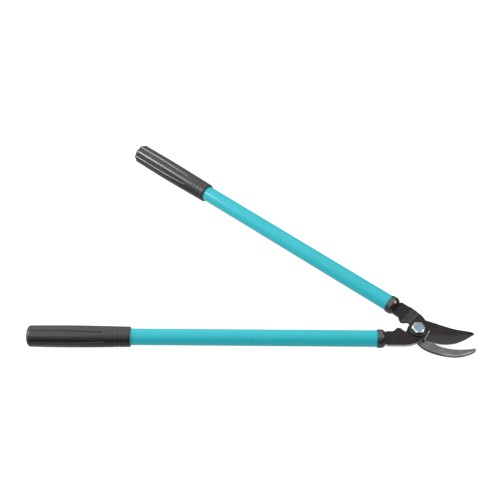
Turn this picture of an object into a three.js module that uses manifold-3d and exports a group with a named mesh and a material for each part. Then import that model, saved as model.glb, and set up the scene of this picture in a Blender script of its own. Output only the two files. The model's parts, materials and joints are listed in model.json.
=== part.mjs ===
// Bypass loppers: a long pair of shears for branches, lying flat and part open.
//
// Millimetres, +Z up. The pivot's axis is the Z axis, the jaws point along +X, and the two
// handles spread to either side of -X. The lowest point, the end of the pivot bolt, is at Z = 0.
//
// Inside the `loppers` group, Z = 0 is the shear plane, where the blade slides over the hook.
// Each arm is drawn in a frame of its own: the pivot at the origin, X along its handle.

import * as THREE from "three";
import { mergeVertices } from "three/addons/utils/BufferGeometryUtils.js";
import Module from "manifold-3d";

const wasm = await Module();
wasm.setup();

// ---------------------------------------------------------------- driving dimensions

const openAngle = 38.4; // degrees between the handles, as they lie

const plate = 5; // thickness of both forged arms
const shearGap = 0.3; // between the faces that slide over each other
const fitGap = 0.1; // around a piece that sits in a hole, and between stacked faces
const looseGap = 0.3; // around the tangs, and between the handle's pieces end to end

const bladeHandleOffset = -14.2; // from the pivot to the blade side's handle axis
const hookHandleOffset = 16.4; // from the pivot to the hook side's handle axis
const shankWidth = 24.8; // of the flat arm where it leaves the handle
const shoulder = -50.5; // where the shank ends and its narrow tang starts
const shoulderRadius = 4.5;
const hubRadius = 15.9; // the blade arm's round edge in the crotch
const hookHubRadius = 16.5;

const tangWidth = 16;
const tangEnd = -108;

const bendFoot = -18.2; // where the hook arm's slope meets its flat, low part
const bendLength = 11.8; // of the slope, along the arm

const edgeThickness = 0.7; // left at the cutting edge
const bevelTurn = 8; // the cutter runs this far past the edge

const tubeRadius = 12.5;
const tubeWall = 1.5;
const tubeBack = -579.5;

const ferruleRadius = 14;
const ferruleBack = -62.6;
const ferruleFront = -50.8;
const ferruleWall = 3.2; // of the ferrule's front, which closes the tube
const ferruleRound = 3.5;

const pinRadius = 2.5; // of the pin through tube, plug and tang
const pinAt = -58.6;

const gripFront = -431.6;
const gripLength = 154.6;
const gripCorner = 5; // radius of the grip's rounded back edge
const fluteCount = 8;
const bladeFluteTurn = 17; // degrees from straight up to the middle of a flute
const hookFluteTurn = 10.5;
const fluteDepth = 1.3;
const fluteStart = 38.6; // from the grip's front edge to the tips of the flutes
const fluteRunOut = 26; // over this length the flutes reach their full depth

const boltRadius = 6; // M12
const boltLength = 30;
const hexFlats = 18; // across flats, of head and nut
const headHeight = 6.5;
const headTurn = 20; // degrees from +X to a corner of the head
const washerRadius = 12;
const headWasher = 2;
const nutWasher = 2.5;
const nutHeight = 12;
const insertHeight = 2.8; // of the nut's nylon ring

// ---------------------------------------------------------------- worked out from them

const bladeBottom = shearGap / 2;
const bladeTop = bladeBottom + plate;
const hookTop = -shearGap / 2;
const hookBottom = hookTop - plate;
const tubeHeight = bladeBottom + plate / 2; // both tubes' axes, in the shanks' middle plane
const headFoot = bladeTop + headWasher + 2 * fitGap;
const boltEnd = headFoot - boltLength;
const tubeFront = ferruleFront - ferruleWall - looseGap;

// ---------------------------------------------------------------- solids

function solidOf(geometry) {
  const bare = geometry.index ? geometry.toNonIndexed() : geometry.clone();
  bare.deleteAttribute("normal");
  bare.deleteAttribute("uv");
  const merged = mergeVertices(bare, 1e-4);
  return new wasm.Manifold(
    new wasm.Mesh({
      numProp: 3,
      vertProperties: merged.attributes.position.array,
      triVerts: new Uint32Array(merged.index.array),
    }),
  );
}

function geometryOf(solid) {
  const mesh = solid.getMesh();
  const geometry = new THREE.BufferGeometry();
  geometry.setAttribute("position", new THREE.BufferAttribute(mesh.vertProperties, 3));
  geometry.setIndex(new THREE.BufferAttribute(mesh.triVerts, 1));
  geometry.computeVertexNormals();
  return geometry;
}

function cut(geometry, ...tools) {
  let solid = solidOf(geometry);
  for (const tool of tools) solid = solid.subtract(solidOf(tool));
  return geometryOf(solid);
}

function common(a, b) {
  return geometryOf(solidOf(a).intersect(solidOf(b)));
}

// A solid turned about Z. The profile is a list of [radius, height].
function turned(profile, segments = 48) {
  const points = profile.map(([radius, height]) => new THREE.Vector2(radius, height));
  return new THREE.LatheGeometry(points, segments).rotateX(Math.PI / 2);
}

// A ring or tube about Z.
function ring(inner, outer, low, high, segments = 48) {
  const section = [
    [inner, low],
    [outer, low],
    [outer, high],
    [inner, high],
    [inner, low],
  ];
  return turned(section, segments);
}

// A plain round bar about Z.
function bar(radius, low, high, segments = 48) {
  const middle = (low + high) / 2;
  return new THREE.CylinderGeometry(radius, radius, high - low, segments)
    .rotateX(Math.PI / 2)
    .translate(0, 0, middle);
}

function block(low, high) {
  const size = high.map((value, i) => value - low[i]);
  const middle = high.map((value, i) => (value + low[i]) / 2);
  return new THREE.BoxGeometry(...size).translate(...middle);
}

function extruded(shape, low, high, curveSegments = 4) {
  const settings = { depth: high - low, bevelEnabled: false, curveSegments };
  return new THREE.ExtrudeGeometry(shape, settings).translate(0, 0, low);
}

function through(shape, ...points) {
  shape.splineThru(points.map(([x, y]) => new THREE.Vector2(x, y)));
}

// Lays a solid made about Z along X, so that its heights become distances along the handle.
function alongHandle(geometry) {
  return geometry.rotateY(Math.PI / 2);
}

// ---------------------------------------------------------------- the arms

// Both shanks start alike: the tang, then a rounded shoulder. These draw one side of it.
function tangToShank(shape, axis) {
  const lowEdge = axis - shankWidth / 2;
  const centre = shoulder + shoulderRadius;
  shape.moveTo(tangEnd, axis - tangWidth / 2);
  shape.lineTo(shoulder, axis - tangWidth / 2);
  shape.lineTo(shoulder, lowEdge + shoulderRadius);
  shape.absarc(centre, lowEdge + shoulderRadius, shoulderRadius, Math.PI, 1.5 * Math.PI);
}

function shankToTang(shape, axis) {
  const highEdge = axis + shankWidth / 2;
  const centre = shoulder + shoulderRadius;
  shape.lineTo(centre, highEdge);
  shape.absarc(centre, highEdge - shoulderRadius, shoulderRadius, Math.PI / 2, Math.PI);
  shape.lineTo(shoulder, axis + tangWidth / 2);
  shape.lineTo(tangEnd, axis + tangWidth / 2);
  shape.closePath();
}

// The cutting edge, from the heel by the pivot to the tip.
const heel = [9.2, -16.6];
const tip = [84, -4.6];
const cuttingEdge = [
  [20, -20.1],
  [32, -22.8],
  [44, -23],
  [56, -20.6],
  [68, -15],
  [77, -9.3],
  tip,
];

// The line where the bevel leaves the blade's full thickness, from the plunge to past the tip.
const bevelLine = [
  [17.5, -1],
  [85, -2.6],
];

function bladeOutline() {
  const shape = new THREE.Shape();
  const crotch = THREE.MathUtils.degToRad(134);
  const crotchEnd = THREE.MathUtils.degToRad(177);
  tangToShank(shape, bladeHandleOffset);
  shape.lineTo(-21, bladeHandleOffset - shankWidth / 2);
  through(shape, [-12, -25.1], [-4, -21.9], [5, -16.6]);
  shape.lineTo(7.2, -15.4);
  shape.lineTo(7.6, heel[1]);
  shape.lineTo(...heel);
  through(shape, ...cuttingEdge);
  through(shape, [82.4, -3], [70, -0.4], [55, 2.8], [40, 8], [25, 14.2], [13, 18.8]);
  through(shape, [5, 20.4], [-4, 17.6], [hubRadius * Math.cos(crotch), hubRadius * Math.sin(crotch)]);
  shape.absarc(0, 0, hubRadius, crotch, crotchEnd);
  through(shape, [-19.2, -1.9], [-22.4, 0.6], [-25.4, 3.4], [-28.7, 4.5], [-32.2, 3.4], [-36, -0.8]);
  shape.lineTo(-39, bladeHandleOffset + shankWidth / 2);
  shankToTang(shape, bladeHandleOffset);
  return shape;
}

// The piece ground away above the cutting edge. Its underside is the bevel: it is spanned by
// straight lines from the blade's middle line down to the edge, and starts at the plunge line.
function bevelCutter() {
  const edge = new THREE.SplineCurve([heel, ...cuttingEdge].map(([x, y]) => new THREE.Vector2(x, y)));
  const [start, end] = bevelLine.map(([x, y]) => new THREE.Vector2(x, y));
  const stations = 20;
  const top = bladeTop + 2;
  const low = bladeBottom + edgeThickness;
  const rings = [];
  for (let i = 0; i <= stations; i++) {
    const along = i / stations;
    const onLine = start.clone().lerp(end, along);
    const onEdge = edge.getPoint(along);
    const out = onEdge.clone().sub(onLine).normalize().multiplyScalar(bevelTurn).add(onEdge);
    rings.push([
      [onLine.x, onLine.y, bladeTop],
      [onEdge.x, onEdge.y, low],
      [out.x, out.y, low],
      [out.x, out.y, top],
      [onLine.x, onLine.y, top],
    ]);
  }
  return skinned(rings);
}

// A closed solid skinned over a row of sections with the same number of corners.
function skinned(rings) {
  const corners = rings[0].length;
  const last = rings.length - 1;
  const index = [];
  for (let i = 0; i < last; i++) {
    for (let j = 0; j < corners; j++) {
      const a = i * corners + j;
      const b = i * corners + ((j + 1) % corners);
      index.push(a, a + corners, b, b, a + corners, b + corners);
    }
  }
  for (let j = 1; j < corners - 1; j++) {
    index.push(0, j, j + 1);
    index.push(last * corners, last * corners + j + 1, last * corners + j);
  }
  const geometry = new THREE.BufferGeometry();
  geometry.setAttribute("position", new THREE.Float32BufferAttribute(rings.flat(2), 3));
  geometry.setIndex(index);
  return geometry;
}

function pinHole(axis) {
  return bar(pinRadius + fitGap, -20, 20, 24).translate(pinAt, axis, 0);
}

function bladeArm() {
  const blank = extruded(bladeOutline(), bladeBottom, bladeTop);
  const pivotHole = bar(boltRadius + fitGap, hookBottom - 1, bladeTop + 1);
  return cut(blank, bevelCutter(), pivotHole, pinHole(bladeHandleOffset));
}

function hookOutline() {
  const shape = new THREE.Shape();
  const crotch = THREE.MathUtils.degToRad(160);
  const hubEnd = THREE.MathUtils.degToRad(268);
  const lowEdge = hookHandleOffset - shankWidth / 2;
  const highEdge = hookHandleOffset + shankWidth / 2;
  tangToShank(shape, hookHandleOffset);
  shape.lineTo(-38.5, lowEdge);
  through(shape, [-34.4, 0.4], [-30.6, -1.8], [-27.3, -0.3], [-24.2, 3.9], [-22, 6.4], [-19, 7]);
  shape.lineTo(hookHubRadius * Math.cos(crotch), hookHubRadius * Math.sin(crotch));
  shape.absarc(0, 0, hookHubRadius, crotch, hubEnd);
  through(shape, [9, -16], [20, -17.9], [31, -17.3], [43, -14], [55, -8.6], [66, -2.1]);
  through(shape, [74, 5.7], [80.5, 15], [84.4, 23], [85.2, 27.2], [83.9, 29.2], [81.8, 28.6]);
  through(shape, [75, 21], [66, 13.2], [56, 6.2], [46, 1.5], [36, -1.4], [28, -0.2]);
  through(shape, [20, 4.6], [11, 13.4], [2, 23], [-6, 28.2], [-13, 30.7], [-20, 31.3]);
  through(shape, [-28, 30], [-36, highEdge]);
  shankToTang(shape, hookHandleOffset);
  return shape;
}

// The hook arm seen from the side: its shank lies level with the blade arm's, and the bend
// carries its flat part one plate thickness lower, under the blade.
function bendSection() {
  const bendHead = bendFoot - bendLength;
  const slope = Math.atan2(bladeTop - hookTop, bendLength);
  const lag = plate * Math.tan(slope / 2);
  const shape = new THREE.Shape();
  shape.moveTo(tangEnd - 10, bladeBottom);
  shape.lineTo(bendHead - lag, bladeBottom);
  shape.lineTo(bendFoot - lag, hookBottom);
  shape.lineTo(120, hookBottom);
  shape.lineTo(120, hookTop);
  shape.lineTo(bendFoot, hookTop);
  shape.lineTo(bendHead, bladeTop);
  shape.lineTo(tangEnd - 10, bladeTop);
  shape.closePath();
  return shape;
}

function hookArm() {
  const blank = extruded(hookOutline(), hookBottom - 2, bladeTop + 2);
  const side = extruded(bendSection(), -60, 60).rotateX(Math.PI / 2);
  const pivotHole = bar(boltRadius + fitGap, hookBottom - 1, bladeTop + 1);
  return cut(common(blank, side), pivotHole, pinHole(hookHandleOffset));
}

// ---------------------------------------------------------------- the pivot

// A six-sided bar about Z.
function hexagon(flats, low, high) {
  return bar(flats / Math.sqrt(3), low, high, 6);
}

// Head and shank in one, with the head's upper corners turned down and the end chamfered.
function pivotBolt() {
  const headTop = headFoot + headHeight;
  const corner = hexFlats / Math.sqrt(3);
  const crown = turned([
    [0, headFoot],
    [corner + 1, headFoot],
    [corner + 1, headTop - 1.9],
    [hexFlats * 0.44, headTop],
    [0, headTop],
  ]);
  const shank = turned([
    [0, boltEnd],
    [boltRadius - 1, boltEnd],
    [boltRadius, boltEnd + 1],
    [boltRadius, headFoot + 1],
    [0, headFoot + 1],
  ]);
  const turn = THREE.MathUtils.degToRad(headTurn) + Math.PI / 2;
  const head = common(hexagon(hexFlats, headFoot, headTop), crown).rotateZ(turn);
  return geometryOf(solidOf(head).add(solidOf(shank)));
}

// A lock nut: a hexagon with a round collar below it, which holds the nylon ring.
function pivotNut(top) {
  const end = top - nutHeight;
  const insertTop = end + insertHeight + 0.6;
  const corner = hexFlats / Math.sqrt(3);
  const envelope = turned([
    [0, end],
    [hexFlats * 0.42, end],
    [hexFlats * 0.475, end + 1],
    [hexFlats * 0.475, end + 3],
    [corner + 0.1, end + 4.4],
    [corner + 0.1, top - 1],
    [hexFlats * 0.475, top],
    [0, top],
  ]);
  const thread = bar(boltRadius + fitGap, end - 1, top + 1);
  const seat = bar(boltRadius + 2.2, end - 1, insertTop);
  return cut(common(hexagon(hexFlats, end, top), envelope), thread, seat);
}

// ---------------------------------------------------------------- one handle's pieces

function tube() {
  const wall = ring(tubeRadius - tubeWall, tubeRadius, tubeBack, tubeFront);
  return cut(alongHandle(wall), pinHole(0));
}

function tangSlot(back, front) {
  const halfWidth = tangWidth / 2 + looseGap;
  const halfHeight = plate / 2 + looseGap;
  return block([back, -halfWidth, -halfHeight], [front, halfWidth, halfHeight]);
}

function tangPlug() {
  const back = tangEnd - 4;
  const front = tubeFront - looseGap;
  const core = bar(tubeRadius - tubeWall - 2 * fitGap, back, front);
  return cut(alongHandle(core), tangSlot(back - 1, front + 1), pinHole(0));
}

function tangPin() {
  const half = tubeRadius - looseGap;
  return bar(pinRadius, -half, half, 24).translate(pinAt, 0, 0);
}

function ferrule() {
  const sleeve = tubeRadius + looseGap;
  const roundSteps = 5;
  const profile = [
    [0, ferruleFront - ferruleWall],
    [sleeve, ferruleFront - ferruleWall],
    [sleeve, ferruleBack],
    [ferruleRadius - 0.4, ferruleBack],
    [ferruleRadius, ferruleBack + 0.4],
  ];
  for (let i = 0; i <= roundSteps; i++) {
    const turn = (i / roundSteps) * (Math.PI / 2);
    const radius = ferruleRadius - ferruleRound * (1 - Math.cos(turn));
    profile.push([radius, ferruleFront - ferruleRound * (1 - Math.sin(turn))]);
  }
  profile.push([0, ferruleFront]);
  return cut(alongHandle(turned(profile)), tangSlot(ferruleFront - 20, ferruleFront + 1));
}

// The grip's outer radius over its lands, at a distance from its front edge.
const gripBody = new THREE.SplineCurve(
  [
    [0, 15.3],
    [38, 16],
    [88, 16.55],
    [gripLength - gripCorner, 16.1],
  ].map(([x, y]) => new THREE.Vector2(x, y)),
);

// How deep the flutes are at a distance from the grip's front edge, as a share of their depth.
function fluteShare(distance) {
  return THREE.MathUtils.smoothstep(distance, fluteStart, fluteStart + fluteRunOut);
}

// A sleeve with a closed, rounded back end and eight shallow flutes between narrow lands.
function grip(fluteTurn) {
  const segments = 8 * fluteCount;
  const bodySteps = 9;
  const cornerSteps = 4;
  const boreRadius = tubeRadius + looseGap;
  const boreEnd = tubeBack - looseGap - gripFront;
  const rings = [];
  const addRing = (distance, radius, depth) => {
    const section = [];
    for (let j = 0; j < segments; j++) {
      const turn = (2 * Math.PI * j) / segments;
      const angle = turn + THREE.MathUtils.degToRad(fluteTurn);
      const wave = Math.cos(fluteCount * turn);
      const scoop = Math.sqrt(Math.max(0, wave + 0.6) / 1.6);
      const here = radius - depth * scoop;
      section.push([gripFront - distance, here * Math.cos(angle), here * Math.sin(angle)]);
    }
    rings.push(section);
  };
  addRing(-boreEnd, boreRadius, 0);
  addRing(0, boreRadius, 0);
  for (let i = 0; i <= bodySteps; i++) {
    const at = gripBody.getPoint(i / bodySteps);
    addRing(at.x, at.y, fluteDepth * fluteShare(at.x));
  }
  const body = gripBody.getPoint(1);
  for (let i = 1; i <= cornerSteps; i++) {
    const turn = (i / cornerSteps) * (Math.PI / 2);
    const drop = gripCorner * (1 - Math.cos(turn));
    const depth = fluteDepth * Math.cos(turn);
    addRing(body.x + gripCorner * Math.sin(turn), body.y - drop, depth);
  }
  return skinned(rings);
}

// ---------------------------------------------------------------- colours

const plain = (color, roughness, metalness) => () =>
  new THREE.MeshStandardMaterial({ color, roughness, metalness });

const finishes = {
  blackenedSteel: plain(0x2e2a28, 0.5, 0.7),
  bareSteel: plain(0x6f7072, 0.4, 0.9),
  zinc: plain(0xaebbc3, 0.3, 1),
  teal: plain(0x27a6b4, 0.3, 0.1),
  blackPlastic: plain(0x1d1e20, 0.5, 0),
  greyPlastic: plain(0x55585b, 0.6, 0),
  pinSteel: plain(0x84888c, 0.4, 0.9),
  nylon: plain(0x2f62b8, 0.5, 0),
};

function piece(name, geometry, finish) {
  const mesh = new THREE.Mesh(geometry, finish());
  mesh.name = name;
  return mesh;
}

// ---------------------------------------------------------------- the assembly

const handlePieces = [
  ["tube", tube, finishes.teal],
  ["tang_plug", tangPlug, finishes.greyPlastic],
  ["tang_pin", tangPin, finishes.pinSteel],
  ["ferrule", ferrule, finishes.blackPlastic],
  ["grip", grip, finishes.blackPlastic],
];

function handle(side, offset, fluteTurn) {
  const group = new THREE.Group();
  group.position.set(0, offset, tubeHeight);
  for (const [name, make, finish] of handlePieces) {
    group.add(piece(side + "_" + name, make(fluteTurn), finish));
  }
  return group;
}

const loppers = new THREE.Group();
loppers.position.z = -boltEnd;

const bladeSide = new THREE.Group();
bladeSide.rotation.z = THREE.MathUtils.degToRad(openAngle / 2);
bladeSide.add(piece("blade_arm", bladeArm(), finishes.blackenedSteel));
bladeSide.add(handle("blade_side", bladeHandleOffset, bladeFluteTurn));

const hookSide = new THREE.Group();
hookSide.rotation.z = THREE.MathUtils.degToRad(-openAngle / 2);
hookSide.add(piece("hook_arm", hookArm(), finishes.bareSteel));
hookSide.add(handle("hook_side", hookHandleOffset, hookFluteTurn));

const headWasherFoot = bladeTop + fitGap;
const nutWasherTop = hookBottom - fitGap;
const nutTop = nutWasherTop - nutWasher - fitGap;
const washer = (low, high) => ring(boltRadius + 2 * fitGap, washerRadius, low, high);
const insert = () => {
  const low = nutTop - nutHeight + 0.3;
  return ring(boltRadius + fitGap, boltRadius + 2, low, low + insertHeight);
};

const pivot = new THREE.Group();
pivot.add(piece("pivot_bolt", pivotBolt(), finishes.zinc));
pivot.add(piece("head_washer", washer(headWasherFoot, headWasherFoot + headWasher), finishes.zinc));
pivot.add(piece("nut_washer", washer(nutWasherTop - nutWasher, nutWasherTop), finishes.zinc));
pivot.add(piece("pivot_nut", pivotNut(nutTop), finishes.zinc));
pivot.add(piece("nut_insert", insert(), finishes.nylon));

loppers.add(bladeSide, hookSide, pivot);

const root = new THREE.Group();
root.add(loppers);
export default root;
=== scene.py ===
"""Bypass loppers lying part open on a pale floor.

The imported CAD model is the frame. Every piece is built here in fine mesh at the place that the
frame gives, in millimetres in a frame of its own part, and then carried into the scene.
Each arm's own frame has the pivot at its origin, X along its handle towards the jaws, Y to the
left, and Z = 0 at the shear plane, where the blade slides over the hook.
"""

import json
import math

import bmesh
import bpy
import numpy as np
from mathutils import Matrix, Vector
from mathutils.geometry import delaunay_2d_cdt


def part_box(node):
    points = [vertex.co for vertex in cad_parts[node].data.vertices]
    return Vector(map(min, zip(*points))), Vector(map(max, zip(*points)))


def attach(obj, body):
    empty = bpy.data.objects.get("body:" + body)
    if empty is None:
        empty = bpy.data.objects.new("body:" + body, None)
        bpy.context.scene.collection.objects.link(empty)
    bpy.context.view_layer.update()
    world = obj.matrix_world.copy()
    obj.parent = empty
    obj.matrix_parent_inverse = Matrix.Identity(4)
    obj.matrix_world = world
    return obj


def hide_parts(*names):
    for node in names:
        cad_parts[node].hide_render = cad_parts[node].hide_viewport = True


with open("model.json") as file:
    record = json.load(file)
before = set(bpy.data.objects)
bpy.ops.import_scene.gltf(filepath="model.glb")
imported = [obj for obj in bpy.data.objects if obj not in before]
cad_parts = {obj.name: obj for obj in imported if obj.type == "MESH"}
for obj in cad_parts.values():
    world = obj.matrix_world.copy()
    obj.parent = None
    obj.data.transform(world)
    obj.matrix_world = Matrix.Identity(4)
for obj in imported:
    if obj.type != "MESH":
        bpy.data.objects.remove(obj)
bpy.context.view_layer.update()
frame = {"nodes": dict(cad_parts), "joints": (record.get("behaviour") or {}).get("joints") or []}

MM = 0.001

# ------------------------------------------------------------------ places, from the frame

PIVOT = Vector(frame["joints"][0]["pos_m"])


def node_points(node):
    """The corners of a CAD node, in millimetres from the pivot."""
    corners = [vertex.co for vertex in frame["nodes"][node].data.vertices]
    return (np.array(corners) - np.array(PIVOT)) / MM


class Side:
    """One side of the loppers: the frame of its arm, and where its handle's pieces lie."""

    def __init__(self, body):
        self.body = body
        points = node_points(body + "_tube")
        flat = points[:, :2]
        middle = flat.mean(axis=0)
        along = np.linalg.svd(flat - middle, full_matrices=False)[2][0]
        self.along = -along if along @ middle > 0 else along
        self.left = np.array([-self.along[1], self.along[0]])
        self.offset = float(middle @ self.left)
        self.height = float((points[:, 2].max() + points[:, 2].min()) / 2)
        turn = math.atan2(self.along[1], self.along[0])
        self.arm = Matrix.Translation(PIVOT) @ Matrix.Rotation(turn, 4, "Z")
        lift = Matrix.Translation((0, self.offset * MM, self.height * MM))
        self.handle = self.arm @ lift

    def span(self, part):
        """How far back and how far forward a piece reaches along the handle."""
        reach = node_points(self.body + "_" + part)[:, :2] @ self.along
        return float(reach.min()), float(reach.max())

    def radius(self, part):
        heights = node_points(self.body + "_" + part)[:, 2]
        return float(heights.max() - heights.min()) / 2


BLADE_SIDE = Side("blade_side")
HOOK_SIDE = Side("hook_side")


def heights(node):
    low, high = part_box(node)
    return (low.z - PIVOT.z) / MM, (high.z - PIVOT.z) / MM


# ------------------------------------------------------------------ materials


def new_material(name, color, roughness, metallic=0.0, **sockets):
    """A node material and its shader; the sockets given hold over the whole surface."""
    material = bpy.data.materials.new(name)
    material.use_nodes = True
    shader = material.node_tree.nodes["Principled BSDF"]
    shader.inputs["Base Color"].default_value = (*color, 1)
    shader.inputs["Roughness"].default_value = roughness
    shader.inputs["Metallic"].default_value = metallic
    for socket, value in sockets.items():
        shader.inputs[socket.replace("_", " ")].default_value = value
    return material, shader


class Tree:
    """Short ways to make the nodes that the materials and the world share."""

    def __init__(self, owner):
        self.tree = owner.node_tree

    def node(self, kind, **values):
        made = self.tree.nodes.new(kind)
        for key, value in values.items():
            setattr(made, key, value)
        return made

    def link(self, source, target):
        self.tree.links.new(source, target)

    def spread(self, value, low, high, to_low=0.0, to_high=1.0, kind="SMOOTHSTEP"):
        """Maps low..high to to_low..to_high, and holds the value at either end."""
        span = self.node("ShaderNodeMapRange", interpolation_type=kind)
        limits = {"From Min": low, "From Max": high, "To Min": to_low, "To Max": to_high}
        for socket, number in limits.items():
            span.inputs[socket].default_value = number
        self.link(value, span.inputs["Value"])
        return span.outputs["Result"]

    def mix(self, factor, first, second):
        """Mixes two colours, each a tuple or a socket."""
        mixer = self.node("ShaderNodeMix", data_type="RGBA")
        self.link(factor, mixer.inputs["Factor"])
        for socket, value in ((mixer.inputs[6], first), (mixer.inputs[7], second)):
            if isinstance(value, tuple):
                socket.default_value = (*value, 1)
            else:
                self.link(value, socket)
        return mixer.outputs[2]

    def math(self, operation, first, second):
        made = self.node("ShaderNodeMath", operation=operation)
        for socket, value in zip(made.inputs, (first, second)):
            if isinstance(value, (int, float)):
                socket.default_value = value
            else:
                self.link(value, socket)
        return made.outputs["Value"]


class Nodes(Tree):
    """The nodes of a material. Textures lie in the frame of the part, which each drawn piece
    keeps in its `local` places, and a CAD node in its own coordinates."""

    def __init__(self, material, drawn=True):
        super().__init__(material)
        if drawn:
            self.place = self.node("ShaderNodeAttribute", attribute_name="local").outputs["Vector"]
        else:
            self.place = self.node("ShaderNodeTexCoord").outputs["Object"]

    def noise(self, size, detail=3.0, stretch=(1, 1, 1)):
        """Noise whose features are about `size` millimetres across."""
        mapping = self.node("ShaderNodeMapping")
        mapping.inputs["Scale"].default_value = stretch
        self.link(self.place, mapping.inputs["Vector"])
        noise = self.node("ShaderNodeTexNoise")
        noise.inputs["Scale"].default_value = 1 / (size * MM)
        noise.inputs["Detail"].default_value = detail
        self.link(mapping.outputs["Vector"], noise.inputs["Vector"])
        return noise.outputs["Fac"]

    def attribute(self, name):
        return self.node("ShaderNodeAttribute", attribute_name=name).outputs["Fac"]

    def bump(self, shader, height, distance, strength=1.0, after=None):
        """Raises the surface by up to `distance` millimetres."""
        bump = self.node("ShaderNodeBump")
        bump.inputs["Strength"].default_value = strength
        bump.inputs["Distance"].default_value = distance * MM
        self.link(height, bump.inputs["Height"])
        if after:
            self.link(after, bump.inputs["Normal"])
        self.link(bump.outputs["Normal"], shader.inputs["Normal"])
        return bump.outputs["Normal"]


def tube_paint():
    """Glossy teal powder coat: a faint orange peel under a clear skin."""
    material, shader = new_material(
        "tube_paint",
        (0.02, 0.42, 0.5),
        0.34,
        Specular_IOR_Level=0.2,
        Coat_Weight=0.3,
        Coat_Roughness=0.13,
    )
    nodes = Nodes(material)
    tone = nodes.spread(nodes.noise(25), 0.3, 0.7)
    teal = nodes.mix(tone, (0.016, 0.366, 0.424), (0.0185, 0.381, 0.441))
    nodes.link(teal, shader.inputs["Base Color"])
    nodes.link(nodes.spread(nodes.noise(5), 0.3, 0.7, 0.26, 0.36), shader.inputs["Roughness"])
    nodes.bump(shader, nodes.noise(1.8, 2), 0.004)
    return material


def moulded_plastic(name, color, worn, roughness, shine=0.62, relief=0.002, drawn=True):
    """Moulded plastic with a fine spark-eroded grain and slightly scuffed patches."""
    material, shader = new_material(name, color, roughness, Specular_IOR_Level=shine)
    nodes = Nodes(material, drawn)
    scuffs = nodes.spread(nodes.noise(9, 6), 0.45, 0.75)
    nodes.link(nodes.mix(scuffs, color, worn), shader.inputs["Base Color"])
    dull = nodes.spread(nodes.noise(3, 4), 0.3, 0.7, roughness - 0.04, roughness + 0.06)
    nodes.link(dull, shader.inputs["Roughness"])
    nodes.bump(shader, nodes.noise(0.6, 2), relief)
    return material


def steel_layer(nodes, dark, light):
    """Ground steel: fine grinding lines across the arm, and a cloudy tone."""
    lines = nodes.noise(0.35, 3, stretch=(1, 0.04, 1))
    clouds = nodes.noise(16, 3)
    tone = nodes.math("MULTIPLY", lines, 0.4)
    both = nodes.math("ADD", tone, nodes.math("MULTIPLY", clouds, 0.6))
    return nodes.mix(nodes.spread(both, 0.35, 0.65), dark, light), lines


def arm_coat():
    """A thin brown-black coat over steel: speckled, worn bright at the rims, and lighter where
    the blade is ground. The mesh's `bare`, `ground` and `rim` say where, from 0 to 1. `bare` and
    `ground` also carry painted light: painted highlights at the plunge line, the hook's bend and
    its chamfer, a painted reflection on the shank's side walls, painted light on the hook's slope
    and painted shade on the jaw's outer side."""
    material, shader = new_material(
        "blade_coat", (0.012, 0.009, 0.007), 0.4, 0.5, Specular_IOR_Level=0.2
    )
    nodes = Nodes(material)
    clouds = nodes.spread(nodes.noise(10, 5), 0.35, 0.7)
    coat = nodes.mix(clouds, (0.010, 0.0076, 0.0062), (0.016, 0.0128, 0.011))
    specks = nodes.spread(nodes.noise(0.8, 2), 0.66, 0.78, 0, 0.4)
    coat = nodes.mix(specks, coat, (0.035, 0.029, 0.026))
    # Where `ground` is set, the coat and the steel turn lighter: on ground bevels, and as painted
    # highlights, a painted reflection and a painted lit slope.
    ground_lines = nodes.noise(0.7, 3, stretch=(1, 0.05, 1))
    thin = nodes.mix(ground_lines, (0.022, 0.022, 0.022), (0.038, 0.038, 0.039))
    coat = nodes.mix(nodes.attribute("ground"), coat, thin)
    steel, lines = steel_layer(nodes, (0.10, 0.10, 0.10), (0.15, 0.15, 0.152))
    steel = nodes.mix(nodes.attribute("ground"), steel, (0.58, 0.59, 0.6))
    ragged = nodes.spread(nodes.noise(2.2, 5), 0.3, 0.7, -0.5, 0.3)
    wear_and_glint = nodes.math("ADD", nodes.attribute("rim"), ragged)
    worn = nodes.spread(wear_and_glint, 0.55, 1.0, 0, 0.6)
    shown = nodes.math("MAXIMUM", nodes.attribute("bare"), worn)
    nodes.link(nodes.mix(shown, coat, steel), shader.inputs["Base Color"])
    metal = nodes.spread(shown, 0, 1, 0.2, 0.9)
    nodes.link(metal, shader.inputs["Metallic"])
    dull = nodes.spread(nodes.noise(4, 4), 0.3, 0.7, 0.36, 0.48)
    nodes.link(dull, shader.inputs["Roughness"])
    fine = nodes.bump(shader, nodes.noise(0.6, 3), 0.02)
    nodes.bump(shader, nodes.math("MULTIPLY", lines, shown), 0.03, after=fine)
    return material


# The colour of the bolt head's painted highlight.
GLINT_ZINC = (0.72, 0.75, 0.77)


def zinc_plate(name, first, second):
    """Zinc plate, whose tint wanders between two colours. It turns bright zinc, a painted
    highlight, where the mesh's `wear_and_glint` is 1."""
    material, shader = new_material(name, first, 0.3, 1.0)
    nodes = Nodes(material)
    tint = nodes.spread(nodes.noise(6, 3), 0.35, 0.65)
    plate = nodes.mix(tint, first, second)
    color = nodes.mix(nodes.attribute("wear_and_glint"), plate, GLINT_ZINC)
    nodes.link(color, shader.inputs["Base Color"])
    nodes.link(nodes.spread(nodes.noise(1.5, 4), 0.3, 0.7, 0.24, 0.4), shader.inputs["Roughness"])
    nodes.bump(shader, nodes.noise(0.7, 3), 0.015)
    return material


def plain_steel():
    """Turned steel of the hidden pins."""
    material, shader = new_material("pin_steel", (0.4, 0.4, 0.41), 0.35, 1.0)
    nodes = Nodes(material, drawn=False)
    steel, lines = steel_layer(nodes, (0.32, 0.32, 0.33), (0.48, 0.48, 0.49))
    nodes.link(steel, shader.inputs["Base Color"])
    nodes.bump(shader, lines, 0.01)
    return material


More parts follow.
